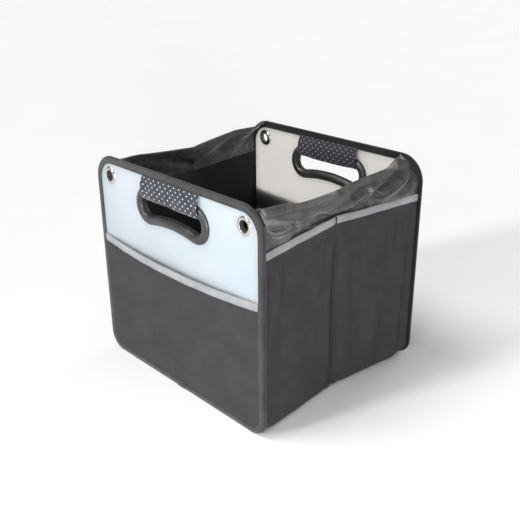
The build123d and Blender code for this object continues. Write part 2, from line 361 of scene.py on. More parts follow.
class Shader:
    """A material's node tree, with short calls for the nodes that the finishes use."""

    def __init__(self, name):
        self.material = bpy.data.materials.new(name)
        self.material.use_nodes = True
        self.tree = self.material.node_tree
        self.tree.nodes.clear()
        self.output = self.tree.nodes.new("ShaderNodeOutputMaterial")

    def put(self, kind, settings=(), **sockets):
        node = self.tree.nodes.new("ShaderNode" + kind)
        for key, value in dict(settings).items():
            setattr(node, key, value)
        for key, value in sockets.items():
            self.set(node.inputs[key.replace("_", " ")], value)
        return node

    def set(self, socket, value):
        if isinstance(value, bpy.types.NodeSocket):
            self.tree.links.new(value, socket)
        else:
            socket.default_value = (*value, 1.0) if socket.type == "RGBA" else value

    def calc(self, operation, *values):
        node = self.put("Math", {"operation": operation})
        for socket, value in zip(node.inputs, values):
            self.set(socket, value)
        return node.outputs[0]

    def times(self, a, b):
        return self.calc("MULTIPLY", a, b)

    def scaled(self, value, factor, offset):
        return self.calc("MULTIPLY_ADD", value, factor, offset)

    def wave(self, value, turns):
        return self.calc("SINE", self.times(value, turns))

    def mix(self, factor, a, b):
        node = self.put("Mix", {"data_type": "RGBA"})
        for index, value in ((0, factor), (6, a), (7, b)):
            self.set(node.inputs[index], value)
        return node.outputs[2]

    def ramp(self, value, low, high):
        """Maps low..high of a value to 0..1."""
        return self.put("MapRange", Value=value, From_Min=low, From_Max=high).outputs[0]

    def place(self):
        return self.put("TexCoord").outputs["Object"]

    def cloth_uv(self):
        """The two cloth directions of the piece, in metres."""
        node = self.put("SeparateXYZ", Vector=self.put("UVMap", {"uv_map": "Cloth"}).outputs[0])
        return node.outputs[0], node.outputs[1]

    def noise(self, scale, detail=3.0, rough=0.55, vector=None):
        vector = vector or self.place()
        return self.put("TexNoise", Scale=scale, Detail=detail, Roughness=rough, Vector=vector).outputs[0]

    def bump(self, relief, distance, strength=1.0, **after):
        """Bump of a distance in millimetres, on top of another bump given as Normal."""
        return self.put("Bump", Strength=strength, Distance=distance * MM, Height=relief, **after).outputs[0]

    def outward(self, end):
        """1 on faces that look out of the crate at an end panel, and 0 on all others. The materials use it
        to paint light on the outer faces and shade on the inner ones.
        """
        normal = self.put("SeparateXYZ", Vector=self.put("NewGeometry").outputs["True Normal"])
        return self.calc("GREATER_THAN", self.times(normal.outputs[1], ENDS[end]), -0.3)

    def principled(self, **sockets):
        """The finished material, with one Principled surface."""
        return self.finish(self.put("BsdfPrincipled", **sockets))

    def finish(self, surface):
        self.tree.links.new(surface.outputs[0], self.output.inputs["Surface"])
        return self.material


def thread_pattern(shader, weave, pitch):
    """Height of the threads, 0..1, for a twill, plain, ribbed or chevron weave. Pitch in
    millimetres."""
    u, v = shader.cloth_uv()
    turns = 2 * pi / (pitch * MM)
    if weave == "twill":
        lines = shader.wave(shader.calc("ADD", u, v), turns)
        threads = shader.wave(shader.calc("SUBTRACT", u, v), turns * 2)
        mixed = shader.scaled(threads, 0.35, lines)
    elif weave == "plain":
        mixed = shader.times(shader.wave(u, turns), shader.wave(v, turns))
    else:
        slant = shader.calc("PINGPONG", v, pitch * 1.5 * MM) if weave == "chevron" else 0.0
        ribs = shader.wave(shader.calc("ADD", u, slant), turns)
        mixed = shader.scaled(shader.wave(v, turns * 0.9), 0.3, ribs)
    return shader.ramp(mixed, -1.3, 1.3)


def cloth_material(name, dark, light, weave, pitch, depth, rough=0.85, sheen=0.03, blotch=0.2, end=None):
    """A woven cloth: thread pattern in colour and bump, with slow uneven patches. On an end panel's
    tape, the faces that look into the crate are painted darker, as painted shade, and get less sheen.
    Pitch and depth of the threads are in millimetres."""
    shader = Shader(name)
    if end:
        # Painted shade: faces that look into the crate get 35 % of the light colour and a fifth of the
        # sheen.
        outer = shader.outward(end)
        light = shader.mix(outer, [0.35 * c for c in light], light)
        sheen = shader.scaled(outer, 0.8 * sheen, 0.2 * sheen)
    threads = thread_pattern(shader, weave, pitch)
    patches = shader.ramp(shader.noise(38.0), 0.35, 0.65)
    fuzz = shader.noise(900.0, 2.0)
    tone = shader.scaled(patches, blotch, shader.times(threads, 1 - blotch))
    return shader.principled(
        Base_Color=shader.mix(shader.times(tone, shader.scaled(fuzz, 0.7, 0.62)), dark, light),
        Roughness=shader.scaled(fuzz, 0.2, rough - 0.1),
        Normal=shader.bump(threads, depth, 0.8, Normal=shader.bump(fuzz, 0.12, 0.4)),
        Sheen_Weight=sheen,
        Sheen_Roughness=0.5,
        Specular_IOR_Level=0.15,
    )


def nylon_material():
    """Thin shiny nylon: fine plain weave, creases and a bright sheen."""
    shader = Shader("band_nylon")
    threads = thread_pattern(shader, "plain", 0.9)
    stretch = shader.put("Mapping", Vector=shader.place(), Rotation=(radians(24), 0.0, 0.0),
                         Scale=(1.0, 0.25, 1.0))
    creases = shader.noise(62.0, 2.5, 0.5, stretch.outputs[0])
    folds = shader.noise(30.0, 1.5, 0.5, stretch.outputs[0])
    tone = shader.ramp(shader.noise(90.0, 3.0), 0.3, 0.7)
    normal = shader.bump(creases, 3.2, 0.6, Normal=shader.bump(folds, 9, 0.6))
    return shader.principled(
        Base_Color=shader.mix(tone, (0.020, 0.0185, 0.019), (0.066, 0.062, 0.064)),
        Roughness=shader.ramp(creases, -0.7, 2.5),
        Normal=shader.bump(threads, 0.12, 0.4, Normal=normal),
        Specular_IOR_Level=0.55,
        Sheen_Weight=0.35,
        Sheen_Roughness=0.35,
    )


def sheet_material(end):
    """Frosted translucent plastic. Its outer face is painted a light bluish colour, as painted light, and
    its inner face a dark colour, as painted shade; the inner face also lets more light through than the
    outer one.
    """
    shader = Shader(f"{end}_panel_sheet")
    outer = shader.outward(end)
    clouds = shader.ramp(shader.noise(7.0, 2.0), 0.3, 0.7)
    grain = shader.noise(650.0, 2.0)
    scuffs = shader.put("TexNoise", Scale=60.0, Detail=5.0, Distortion=1.5, Vector=shader.place())
    # Painted light and shade: a light bluish colour for the outer face, as if lit, and a dark one for the
    # inner face, as if in shade.
    painted_light_outer = shader.mix(clouds, (0.46, 0.53, 0.60), (0.52, 0.58, 0.63))
    painted_dark_inner = shader.mix(clouds, (0.20, 0.21, 0.23), (0.25, 0.26, 0.28))
    relief = shader.bump(grain, 0.06, 0.35, Normal=shader.bump(clouds, 0.8, 0.15))
    rough = shader.scaled(scuffs.outputs[0], 0.22, 0.3)
    reflect = shader.put("BsdfPrincipled", Base_Color=shader.mix(outer, painted_dark_inner, painted_light_outer), Roughness=rough,
                         Normal=relief, IOR=1.49)
    through = shader.put("BsdfTranslucent", Color=(0.93, 0.915, 0.89), Normal=relief)
    blend = shader.put("MixShader", Fac=shader.scaled(outer, -0.4, 0.88))
    for index, part in ((1, reflect), (2, through)):
        shader.set(blend.inputs[index], part.outputs[0])
    return shader.finish(blend)


def plastic_material(name, colour, rough):
    """Satin moulded plastic with a fine grain, handling marks and duller hollows."""
    shader = Shader(name)
    wear = shader.ramp(shader.noise(55.0, 4.0), 0.42, 0.7)
    return shader.principled(
        Base_Color=shader.mix(wear, colour, [c * 1.9 + 0.006 for c in colour]),
        Roughness=shader.scaled(wear, 0.12, rough),
        Normal=shader.bump(shader.noise(420.0, 3.0), 0.10, 0.5),
        Specular_IOR_Level=0.6,
    )


def metal_material():
    """Nickel plate with faint turning marks and dull patches."""
    shader = Shader("eyelet_metal")
    dull = shader.ramp(shader.noise(120.0), 0.35, 0.75)
    return shader.principled(
        Base_Color=shader.mix(dull, (0.66, 0.64, 0.60), (0.48, 0.46, 0.42)),
        Metallic=1.0,
        Roughness=shader.scaled(dull, 0.14, 0.14),
        Normal=shader.bump(shader.noise(500.0, 4.0, 0.7), 0.03, 0.2),
    )


def dotted_material(end):
    """Dark canvas with rows of small raised light dots, each row half a dot on. Faces that look into the
    crate are painted darker, as painted shade.
    """
    shader = Shader(f"{end}_wrap_fabric")
    dot_step, row_step, dot = 9.9 * MM, 4.3 * MM, 1.0 * MM
    u, v = shader.cloth_uv()

    def squared_offset(value, size):
        offset = shader.calc("SUBTRACT", shader.calc("WRAP", value, size, 0.0), size / 2)
        return shader.times(offset, offset)

    row = shader.calc("FLOOR", shader.calc("DIVIDE", v, row_step))
    shift = shader.times(shader.calc("PINGPONG", row, 1.0), dot_step / 2)
    squares = shader.calc("ADD", squared_offset(shader.calc("ADD", u, shift), dot_step),
                          squared_offset(v, row_step))
    wobble = shader.scaled(shader.noise(420.0, 1.0), 0.7 * MM, -0.35 * MM)
    reach = shader.calc("ADD", shader.calc("SQRT", squares), wobble)
    spot = shader.calc("SUBTRACT", 1.0, shader.ramp(reach, dot * 0.75, dot * 1.1))
    threads = thread_pattern(shader, "plain", 0.9)
    fuzz = shader.noise(800.0, 2.0)
    cloth = shader.mix(shader.times(threads, fuzz), (0.012, 0.013, 0.018), (0.046, 0.048, 0.065))
    thread = shader.mix(fuzz, (0.36, 0.39, 0.47), (0.70, 0.73, 0.80))
    # Painted shade: faces that look into the crate are mixed 55 % towards near black.
    painted_shade = shader.scaled(shader.outward(end), -0.55, 0.55)
    return shader.principled(
        Base_Color=shader.mix(painted_shade, shader.mix(spot, cloth, thread), (0.006, 0.006, 0.008)),
        Roughness=shader.scaled(spot, -0.35, 0.8),
        Normal=shader.bump(shader.scaled(spot, 1.6, threads), 0.22, 0.8),
        Sheen_Weight=0.2,
        Sheen_Roughness=0.4,
    )


def floor_material():
    shader = Shader("studio_floor")
    colour = shader.mix(shader.noise(3.0, 2.0), (0.90, 0.90, 0.905), (0.93, 0.93, 0.935))
    return shader.principled(Base_Color=colour, Roughness=0.9, Specular_IOR_Level=0.1)


M = {key: cloth_material(*look) for key, look in {
    "pocket": ("pocket_cloth", (0.016, 0.016, 0.016), (0.056, 0.0555, 0.0555), "twill", 1.5, 0.22),
    "lining": ("lining_cloth", (0.014, 0.014, 0.015), (0.040, 0.040, 0.042), "plain", 1.2, 0.12),
    "base": ("base_cloth", (0.016, 0.016, 0.016), (0.042, 0.041, 0.040), "plain", 1.4, 0.15),
    "trim": ("trim_tape", (0.10, 0.103, 0.11), (0.40, 0.407, 0.42), "twill", 2.6, 0.3, 0.7, 0.3, 0.25),
    "trim_thread": ("trim_thread", (0.12, 0.12, 0.125), (0.3, 0.3, 0.31), "rib", 0.5, 0.1, 0.6, 0.3),
    "thread": ("sewing_thread", (0.012, 0.012, 0.012), (0.035, 0.035, 0.034), "rib", 0.5, 0.1, 0.6, 0.3),
}.items()}
M |= {
    "nylon": nylon_material(),
    "grip": plastic_material("grip_plastic", (0.017, 0.017, 0.017), 0.30),
    "board": plastic_material("board_plastic", (0.03, 0.03, 0.03), 0.55),
    "metal": metal_material(),
    # Dark plastic for the sleeve that paints shade inside the eyelet holes.
    "shade_sleeve": plastic_material("eyelet_bore", (0.035, 0.030, 0.027), 0.45),
}
for tape_end in ENDS:
    # Painted shade on both: their faces that look into the crate are painted darker.
    M[f"{tape_end}_wrap"] = dotted_material(tape_end)
    M[f"{tape_end}_binding"] = cloth_material(
        f"{tape_end}_binding_tape", (0.004, 0.004, 0.0037), (0.050, 0.050, 0.046), "chevron", 3.2, 0.5,
        rough=0.75, sheen=0.22, blotch=0.3, end=tape_end)


# ---- Camera, light and floor ----

def make_camera():
    """Camera at the photograph's angle, on the crate's middle."""
    data = bpy.data.cameras.new("camera")
    data.lens, data.sensor_width = 52.12, 36.0
    data.clip_start, data.clip_end = 0.01, 100.0
    right = Vector((0.68663, 0.72697, -0.00696))
    up = Vector((-0.28574, 0.27866, 0.91690))
    turn = Matrix((right, up, right.cross(up))).transposed()
    camera = add_object("camera", data)
    camera.matrix_world = Matrix.Translation((0.69341, -0.64761, 0.55372)) @ turn.to_4x4()
    bpy.context.scene.camera = camera


def make_light(name, kind, back, energy, **settings):
    """A soft light that shines against the direction `back`."""
    data = bpy.data.lights.new(name, kind)
    data.energy = energy
    for key, value in settings.items():
        setattr(data, key, value)
    light = add_object(name, data)
    light.rotation_mode = "QUATERNION"
    light.rotation_quaternion = back.to_track_quat("Z", "Y")
    return light


def make_studio():
    """White surroundings, four distant lights, a small softbox and the floor. A distant light
    stands at an azimuth in degrees round from -Y towards +X."""
    world = bpy.data.worlds.new("studio")
    world.use_nodes = True
    background = world.node_tree.nodes["Background"]
    background.inputs["Color"].default_value = (1.0, 1.0, 1.0, 1.0)
    background.inputs["Strength"].default_value = 0.26
    bpy.context.scene.world = world
    bpy.context.scene.view_settings.view_transform = "Standard"
    for name, azimuth, elevation, spread, strength, colour in (
        ("front_key", -15, 20, 9, 0.52, (0.95, 0.985, 1.0)),
        ("top_key", -42, 62, 30, 0.52, (1.0, 1.0, 1.0)),
        ("right_fill", 54, 3, 10, 0.64, (1.0, 1.0, 0.99)),
        ("back_fill", 178, 14, 40, 0.45, (1.0, 0.99, 0.97)),
    ):
        turn, tilt = radians(azimuth), radians(elevation)
        back = Vector((sin(turn) * cos(tilt), -cos(turn) * cos(tilt), sin(tilt)))
        make_light(name, "SUN", back, strength * pi, angle=radians(spread), color=colour)
    place, target = Vector((0.4, -0.66, 0.3)), Vector((0.12, -0.14, 0.14))
    make_light("front_softbox", "AREA", place - target, 2.6, size=0.3).location = place
    bpy.ops.mesh.primitive_plane_add(size=60, location=(0, 0, 0))
    floor = bpy.context.object
    floor.name = "studio_floor"
    floor.data.materials.append(floor_material())


# ---- Cloth simulation ----

def simulate(piece, pins, frames, pressure=0.0, gravity=0.0, growth=0.0, bend=0.5):
    """Runs Blender's Cloth on a mesh and returns its settled points, pinned by a weight a point."""
    group = piece.vertex_groups.new(name="pins")
    for i, weight in enumerate(pins):
        group.add([i], float(weight), "REPLACE")
    cloth = piece.modifiers.new("cloth", "CLOTH")
    cloth.settings.vertex_group_mass = group.name
    cloth.settings.quality = 6
    cloth.settings.mass = 0.2
    cloth.settings.bending_stiffness = bend
    cloth.settings.effector_weights.gravity = gravity
    cloth.settings.shrink_min = -growth
    if pressure:
        cloth.settings.use_pressure = True
        cloth.settings.uniform_pressure_force = pressure
    cloth.collision_settings.use_collision = False
    cloth.point_cache.frame_start, cloth.point_cache.frame_end = 1, frames
    scene = bpy.context.scene
    for number in range(1, frames + 1):
        scene.frame_set(number)
    settled = piece.evaluated_get(bpy.context.evaluated_depsgraph_get())
    points = mesh_points(settled)
    piece.modifiers.remove(cloth)
    piece.vertex_groups.clear()
    scene.frame_set(1)
    return points


def mesh_points(piece):
    return np.array([v.co for v in piece.data.vertices], float)


def capped(moves, most):
    """Moves no longer than `most`, eased so that long ones stay smooth."""
    length = np.linalg.norm(moves, axis=-1, keepdims=True)
    return moves * (most * np.tanh(length / most) / np.maximum(length, 1e-9))


# ---- End panels ----

# The tape's folded section, in millimetres: (distance in from the panel's edge, out from the
# middle of its thickness), for one face. The other face mirrors it.
binding_face = [(9.6, 1.6), (9.7, 2.05), (9.35, 2.42), (8.4, 2.56), (6.4, 2.6), (4.0, 2.56),
                (2.2, 2.48), (0.95, 2.18), (0.2, 1.3)]
binding_back = [(6.5, 1.53), (1.2, 1.5)]


def mirrored(face, turn):
    """One side of a section, the point where it turns round the edge, and its other side."""
    return face + [turn] + [(inset, -out) for inset, out in reversed(face)]


def binding_grid(end, points, normals, profile, lift=0.0):
    """Points of the tape: rows follow the outline, columns its folded section. `lift` puffs it."""
    inset, out = np.array(profile).T * MM
    across, up = (points[:, None, axis] - normals[:, None, axis] * inset for axis in (0, 1))
    swell = np.where(out > 0, lift, -lift) * eased(inset, 6)
    return on_panel(end, across, out + swell - panel_depth / 2, up)


def make_binding(end):
    """Woven tape folded over the panel's edge, with its sewn lines and its lapped joint."""
    profile = mirrored(binding_face, (0, 0)) + mirrored(binding_back, (1, 0))[::-1]
    points, normals, distance = panel_outline(2.4 * MM)
    lift = 0.12 * MM * waves(distance[:-1, None], 0.0, {"front": 11, "rear": 12}[end], (14, 50))
    v = run_length(profile + profile[:1]) * MM
    build = Build()
    build.grid(binding_grid(end, points, normals, profile, lift), flat_uv(v, distance)[..., ::-1],
               around=True, along=True)

    lap = np.linspace(-7 * MM, 7 * MM, 9)
    raised = mirrored([(max(inset - 0.5, 0.05), out + 0.5) for inset, out in binding_face[1:]],
                      (0.05, -0.5))
    lapped = binding_grid(end, np.stack([lap, 0 * lap], 1), np.tile([0.0, -1.0], (len(lap), 1)),
                          raised + raised[::-1])
    half = len(raised)
    lapped[:, half:] += (lapped.mean((0, 1)) - lapped[:, half:]) * 0.05
    build.grid(lapped, flat_uv(np.arange(2 * half + 1) * MM, lap)[..., ::-1], around=True, caps=True)

    for face in (1, -1):
        line = binding_grid(end, points, normals, [(8.1, face * 2.6)])[:, 0]
        add_stitches(build, np.vstack([line, line[:1]]), [0.0, face * ENDS[end], 0.0])
    piece = build.finish(f"{end}_edge_binding", [M[f"{end}_binding"], M["thread"]])
    stand_in(piece, end, "binding")


def bezel_profile(face, direction, mouth):
    """Rounded bezel that stands off a face of the sheet, with a lip down to the hole at `mouth`,
    as (distance from the lobe's centre, out)."""
    inner, outer = grip_radii
    middle, reach = (inner + outer) / 2 + 0.2 * MM, (outer - inner) / 2 - 0.2 * MM
    crown = []
    for turn in np.linspace(0, pi, 19):
        rise = bezel * max(0.0, sin(turn)) ** 0.72
        crown.append((middle + reach * cos(turn), face + direction * (rise + 0.02 * MM)))
    lip = [(inner + 0.05 * MM, face + direction * 0.4 * MM), (inner, mouth)]
    back = [(inner + 1.9 * MM, mouth), (inner + 1.95 * MM, face + direction * 0.02 * MM)]
    return crown + lip + back


def make_grip(end):
    """Two moulded rings that clamp the sheet; the outer one carries the hole's tunnel."""
    middle = sum(grip_radii) / 2
    points, normals, distance = grip_outline(middle, 1.6 * MM)
    for part, profile in (
        ("outer", bezel_profile(sheet_out, 1, sheet_in + 0.05 * MM)),
        ("inner", bezel_profile(sheet_in, -1, sheet_in - 0.02 * MM)[:-1]),
    ):
        radius, out = np.array(profile).T
        across, up = (points[:, None, axis] + normals[:, None, axis] * (radius - middle) for axis in (0, 1))
        uv = flat_uv(run_length(profile + profile[:1]), distance)
        build = Build()
        build.grid(on_panel(end, across, out, up), uv, around=True, along=True)
        piece = build.finish(f"{end}_grip_ring_{part}", [M["grip"]], sharp=40)
        stand_in(piece, end, f"grip_{part}")


def make_eyelets(end):
    """Rolled metal eyelets through the sheet, and the washers behind it, with a dark sleeve inside each
    hole as painted shade. Their profiles are (radius, out) in millimetres."""
    hole, flange, face, back = (size / MM for size in (*eyelet_radii, sheet_out, sheet_in))
    barrel = [
        (hole, back - 0.9), (hole, face + 0.3), (hole + 0.3, face + 0.9), (hole + 0.9, face + 1.3),
        (hole + 1.9, face + 1.5), (hole + 3.1, face + 1.35), (hole + 4.2, face + 0.9),
        (flange - 0.25, face + 0.55), (flange, face + 0.2), (flange - 0.2, face + 0.02),
        (hole + 1.2, face + 0.02), (hole + 1.15, back - 1.25), (hole + 2.2, back - 1.3),
        (hole + 2.3, back - 1.6), (hole + 1.2, back - 1.85), (hole + 0.3, back - 1.5),
    ]
    # Painted shade: a dark brown sleeve over the barrel's inner wall, standing in for the shade inside the
    # hole.
    shade_sleeve = [
        (hole - 0.1, back - 2.0), (hole - 0.1, face + 0.35), (hole + 0.3, face + 1.1),
        (hole + 0.6, face + 1.0), (hole + 0.5, back - 2.0),
    ]
    washer = [
        (hole + 1.25, back - 0.02), (flange - 0.1, back - 0.02), (flange, back - 0.3),
        (flange - 0.6, back - 0.85), (flange - 2.2, back - 1.15), (hole + 1.4, back - 1.2),
    ]
    for name, node, profiles in (
        (f"{end}_rolled_eyelets", "eyelets", (barrel, shade_sleeve)),
        (f"{end}_domed_washers", "eyelet_washers", (washer,)),
    ):
        build = Build()
        for x in (-eyelet_x, eyelet_x):
            for slot, profile in enumerate(profiles):
                lathe(build, end, (x, eyelet_z), profile, slot)
        piece = build.finish(name, [M["metal"], M["shade_sleeve"]], sharp=60)
        stand_in(piece, end, node)


def make_wrap(end):
    """Padded dotted sleeve round the bar over the hand hole, puffed up by Blender's Cloth."""
    half, foot, top = wrap_high.x, wrap_low.z, height - binding_width + 1.0 * MM
    # Half the sleeve's section in millimetres: (below the top, out) and (above the foot, out)
    from_top = ((0, 3.2), (2.2, 4.3), (5, 5.9), (8.5, 7.2), (12.5, 7.7), (16.5, 7.8))
    from_foot = ((7.2, 7.6), (4.0, 6.8), (1.6, 5.2), (0.35, 2.8))
    leg = [(top - drop * MM, out * MM) for drop, out in from_top]
    leg += [(foot + rise * MM, out * MM) for rise, out in from_foot]
    path = np.array(leg + [(foot, 0.0)] + [(z, -out) for z, out in reversed(leg)])
    fine = np.linspace(0, len(path) - 1, 3 * len(path) - 2)
    z, out = (np.interp(fine, np.arange(len(path)), path[:, axis])[:, None] for axis in (0, 1))
    slope = np.hstack([np.gradient(z, axis=0), np.gradient(out, axis=0)])
    slope /= np.linalg.norm(slope, axis=1, keepdims=True)
    x = np.linspace(-half, half, 55)
    thick = 2.1 * MM * (0.45 + 0.55 * (1 - (np.abs(x) / half) ** 14))
    middle = -panel_depth / 2
    outer = on_panel(end, x, middle + out, z)
    inner = on_panel(end, x, middle + out + slope[:, :1] * thick, z - slope[:, 1:] * thick)
    build = Build()
    build.shell(outer, inner, flat_uv(x + half, run_length(np.hstack([z, out]))))
    piece = build.finish(f"{end}_padded_sleeve", [M[f"{end}_wrap"]], sharp=75)
    rest = mesh_points(piece)
    pins = np.ones(len(rest))
    pins[:z.size * x.size] = np.repeat(np.abs(z[:, 0] - top) < 3 * MM, x.size)
    settled = simulate(piece, pins, 14, pressure=6.0, growth=0.03, bend=0.3)
    moved = rest + capped(settled - rest, 1.5 * MM)
    piece.data.vertices.foreach_set("co", moved.astype(np.float32).ravel())
    piece.data.update()
    stand_in(piece, end, "wrap")


def pocket_stand(end, across, up):
    """How far the end pocket's cloth stands off the sheet: most in the middle of its mouth."""
    bulge = trim_bulge * {"front": 1.0, "rear": 0.2}[end] * (1 - np.abs(across / pocket_half) ** 2.2)
    return sheet_out + 0.15 * MM + bulge * (np.clip(up / pocket_mouth, 0, 1.05)) ** 1.35


def mouth_sag(across):
    """How far the pocket's mouth hangs below its ends."""
    return mouth_drop * (1 - np.abs(across / pocket_half) ** 2).clip(0, 1)


def tape_section(foot, top, turn, depths):
    """Heights and depths of a tape's folded section, up one face and down the other. `turn` says
    how far under the top its faces end, its shoulders are and its crown is, in millimetres."""
    end, shoulder, crown = (top - drop * MM for drop in turn)
    heights = [foot, foot + 3 * MM, end, shoulder, crown, shoulder, end, foot + 1 * MM]
    return np.array(heights)[:, None], np.array(depths)[:, None] * MM


def make_end_pocket(end):
    """Cloth pocket on the panel's outside, sewn in under the binding."""
    seed = {"front": 21, "rear": 31}[end]
    across = np.linspace(-pocket_half - 2 * MM, pocket_half + 2 * MM, 130)
    inset = binding_width - 2 * MM
    bend = low_radius - inset
    over = np.clip(np.abs(across) - (half_width - low_radius), 0, bend - 0.01 * MM)
    foot = low_radius - np.sqrt(bend**2 - over**2)
    share = np.linspace(0, 1, 76)[:, None]
    up = foot + (pocket_mouth - 1.5 * MM - foot) * share - mouth_sag(across) * share
    fall = smooth(share * 3) * smooth((0.97 - share) * 7) * eased(pocket_half - np.abs(across), 25)
    side_pull = smooth((np.abs(across) - 0.35 * pocket_half) / (0.6 * pocket_half))
    ripple = 0.55 * MM * waves(up + np.abs(across) * 0.55, across, seed, (24, 60), lean=0.15) * side_pull
    ripple += 0.35 * MM * waves(across, up, seed + 1, (35, 90), lean=0.2)
    out = np.maximum(pocket_stand(end, across, up) + ripple * fall, sheet_out + 0.1 * MM)
    outer = on_panel(end, across, out + pocket_thick, up)
    build = Build()
    build.shell(outer, on_panel(end, across, out, up), grid_uv(outer))
    pocket = build.finish(f"{end}_pocket_cloth", [M["pocket"]])
    stand_in(pocket, end, "pocket")
    make_end_trim(end, seed + 2)


def make_end_trim(end, seed):
    """Tape folded over the mouth of an end pocket."""
    top = pocket_mouth + 0.4 * MM
    foot = top - (trim_high.z - trim_low.z)
    across = np.linspace(-pocket_half, pocket_half, 150)
    mouth_wave = 0.3 * MM * waves(across, 0.0, seed, (20, 60))
    grids = []
    for z, lift in (
        tape_section(foot, top, (2, 0.6, 0), (1.35, 1.45, 1.45, 1.2, 0.4, -0.4, -0.6, -0.6)),
        tape_section(foot, top, (2, 1.0, 0.6), (0.95, 0.95, 0.95, 0.8, 0.4, 0.0, -0.15, -0.15)),
    ):
        out = pocket_stand(end, across, z) + lift + mouth_wave * 0.3
        grids.append(on_panel(end, across, out, z + mouth_wave - mouth_sag(across)))
    build = Build()
    build.shell(*grids, grid_uv(grids[0]))
    for row, drop in ((1, 1.2 * MM), (3, 0.2 * MM)):
        line = grids[0][row] + np.array([0, ENDS[end] * 0.02 * MM, -drop])
        add_stitches(build, line, [0.0, ENDS[end], 0.0], pitch=3.0 * MM)
    trim = build.finish(f"{end}_mouth_tape", [M["trim"], M["trim_thread"]])
    stand_in(trim, end, "pocket_trim")


# ---- Side walls ----

def wall_reach(along, up):
    """Distance of the wall's outer face from the crate's middle plane."""
    share = np.clip(1 - along / hinge_y, 0, 1)
    bow = (bow_low + (bow_high - bow_low) * up / height) * share**0.94
    over = np.clip(up - (height - corner_radius), 0, corner_radius * 0.97)
    rounding = corner_radius - np.sqrt(corner_radius**2 - over**2)
    near = smooth(1 - (hinge_y - along) / (54 * MM))
    return wall_face - bow - rounding * near


def foot_size(along):
    """Radius of the rounded lower edge: as the panel's corner beside it, and soon much tighter."""
    away = np.clip(1 - along / hinge_y, 0, 1)
    near = hump(away * hinge_y, 13)
    return foot_tight - (foot_tight - foot_centre) * away + (foot_radius - foot_tight) * near


def wall_points(side, end, along, rise, depth):
    """Points of a wall half: `along` from the centre fold towards the panel, `rise` up the cloth
    from where it leaves the ground, and `depth` inwards from the outer face."""
    along, rise, depth = np.broadcast_arrays(along, rise, depth)
    radius = foot_size(along)
    quarter = radius * pi / 2
    up = ground + radius + np.maximum(rise - quarter, 0)
    angle = np.clip(rise / radius, 0, pi / 2)
    reach = radius - depth
    x = wall_reach(along, up) - radius + reach * np.sin(angle) + np.minimum(rise, 0)
    z = np.where(rise > quarter, up, ground + radius - reach * np.cos(angle))
    return np.stack([SIDES[side] * x, ENDS[end] * along, z], -1)


def rise_at(along, up):
    """How far up the cloth a point at height `up` of the outer face is."""
    radius = foot_size(along)
    over = up - ground - radius
    turned = radius * np.arccos(np.clip(-over / radius, -1, 1))
    return np.where(over > 0, radius * pi / 2 + over, turned)


def crease_rise(along):
    return rise_at(along, crease_low + crease_slope * np.clip(hinge_y - along, 0, hinge_y))


def wall_seed(side, end):
    return {"left": 100, "right": 200}[side] + {"front": 0, "rear": 50}[end]


def pocket_depth(side, end, along, rise):
    """Depth of the pocket cloth's outer face: slow upright ripples, a valley at the centre fold
    and puckers where that fold meets the floor. Negative depths stand outwards."""
    seed = wall_seed(side, end)
    share = np.clip(rise / rise_at(along, wall_trim_high.z), 0, 1.02)
    up_wall = eased(rise, 45)
    soft = waves(along, rise, seed, (34, 80), count=4, lean=0.14)
    fine = waves(along, rise, seed + 1, (12, 26), count=4, lean=0.12)
    patch = smooth(0.5 + 0.9 * waves(along, rise, seed + 3, (60, 130), count=4, lean=0.8))
    gathers = (hump(along - 0.8 * hinge_y, 30) + hump(along - 22 * MM, 24)) * smooth(share * 1.6 - 0.3)
    lift = (3.4 * MM * soft + (0.6 * MM * patch + 1.25 * MM * gathers) * fine) * up_wall
    lift += 1.6 * MM * np.sin(np.clip(along / hinge_y, 0, 1) * pi) * np.sin(np.clip(share, 0, 1) * pi)
    puckers = hump(np.hypot(along, (rise - 38 * MM) * 0.55), 38) * eased(rise, 8) * eased(along, 6)
    fan = np.arctan2(rise - 22 * MM, along + 1e-6)
    lift += 1.2 * MM * puckers * np.sin(fan * 8 + (seed % 7))
    lift += 1.8 * MM * hump(along - 15 * MM, 8) * up_wall
    lift = np.maximum(lift, -2.1 * MM)
    valley = 2.6 * MM * hump(along, 4.8) * eased(rise, 18) + 1.9 * MM * hump(along, 13) * up_wall
    pulled = 1 - 0.55 * smooth((share - 0.75) / 0.2)
    near_panel = eased(hinge_y + 1 * MM - along, 9)
    under_trim = smooth((0.955 - share) / 0.09)
    return valley * pulled - lift * near_panel * under_trim


def lining_depth(side, end, along, rise, high=1.0):
    """Depth of the lining's inner face: slow ripples, and a ridge over the centre fold."""
    ripple = 0.5 * MM * waves(along, rise, wall_seed(side, end) + 5, (25, 60), lean=0.3)
    free = eased(rise, 30) * eased(high - rise, 30)
    return wall_depth + (ripple * eased(along, 15) + 2.4 * MM * hump(along, 7)) * free


def half_columns(start=wall_start, stop=0.0):
    """Even distances from the centre fold, from the panel towards it."""
    return np.linspace(start, stop, max(5, int(ceil((start - stop) / cloth_step))))


def wall_cloth(side, end, along, rise, depths, slots=(0, 0)):
    """A closed cloth of a wall half, between two depths."""
    build = Build()
    faces = [wall_points(side, end, along, rise, depth) for depth in depths]
    build.shell(*faces, np.stack(np.broadcast_arrays(along, rise), -1), slots)
    return build


def hang(piece, side, end, nodes):
    """Puts a piece on a wall half, in place of its CAD nodes."""
    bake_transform(piece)
    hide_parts(*(f"{side}_{end}_{node}" for node in nodes))


def hang_band(piece):
    """Bakes a band half's placement into its mesh."""
    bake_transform(piece)


def mouth_height(end, along):
    """Height of the pocket's mouth tape, which slopes a little towards its panel."""
    return wall_trim_high.z + trim_drop[end] * np.clip(along / hinge_y, 0, 1) ** 1.5


